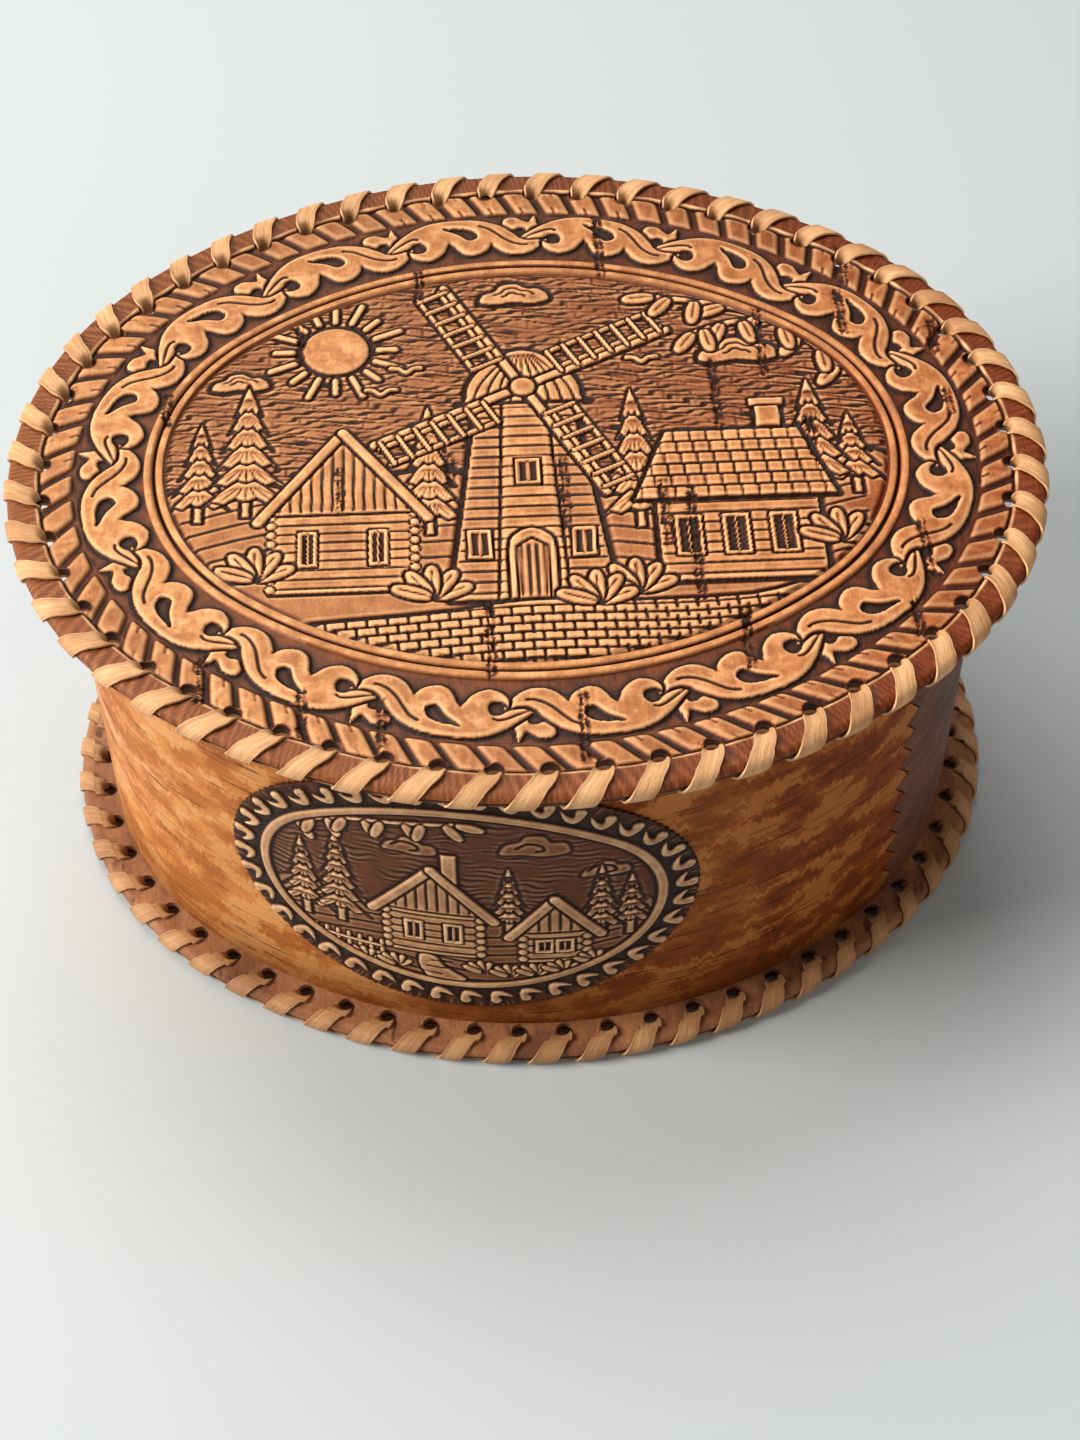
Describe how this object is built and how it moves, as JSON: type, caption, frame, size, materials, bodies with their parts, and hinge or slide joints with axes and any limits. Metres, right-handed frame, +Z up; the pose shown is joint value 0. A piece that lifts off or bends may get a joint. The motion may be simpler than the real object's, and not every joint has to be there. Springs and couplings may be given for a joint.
{
  "type": "oval birch bark box",
  "caption": "Oval lidded box of birch bark: a laced, embossed lift-off lid, a bent bark wall with an oval front plaque, and a laced base rim.",
  "frame": {"origin": "on the surface the box stands on, under the middle of the oval", "axes": "+Z up, +X along the long axis to the right as seen from the front, front with the oval plaque towards -Y"},
  "size_m": [0.2014, 0.1694, 0.0921],
  "materials": {
    "embossed_bark": "satin",
    "rim_bark": "satin",
    "wall_bark": "satin",
    "grey_bark": "satin",
    "strip_bark": "satin",
    "dark_bark": "satin",
    "inner_bark": "matte",
    "bark_board": "matte"
  },
  "bodies": {
    "box": {"wall_inner": "inner_bark", "wall_front": "wall_bark", "wall_back": "grey_bark", "medallion": "dark_bark", "floor_board": "bark_board", "base_panel": "rim_bark", "base_core": "bark_board", "base_bottom": "inner_bark", "base_lace_1": "strip_bark", "base_lace_2": "strip_bark", "base_lace_3": "strip_bark", "base_lace_4": "strip_bark"},
    "lid": {"lid_panel": "embossed_bark", "lid_core": "bark_board", "lid_lining": "inner_bark", "lid_collar": "inner_bark", "lid_lace_1": "strip_bark", "lid_lace_2": "strip_bark", "lid_lace_3": "strip_bark", "lid_lace_4": "strip_bark"}
  },
  "joints": [
    {"name": "lid_lift", "type": "slide", "parent": "box", "child": "lid", "axis": [0, 0, 1], "range_m": [0, 0.1]}
  ]
}
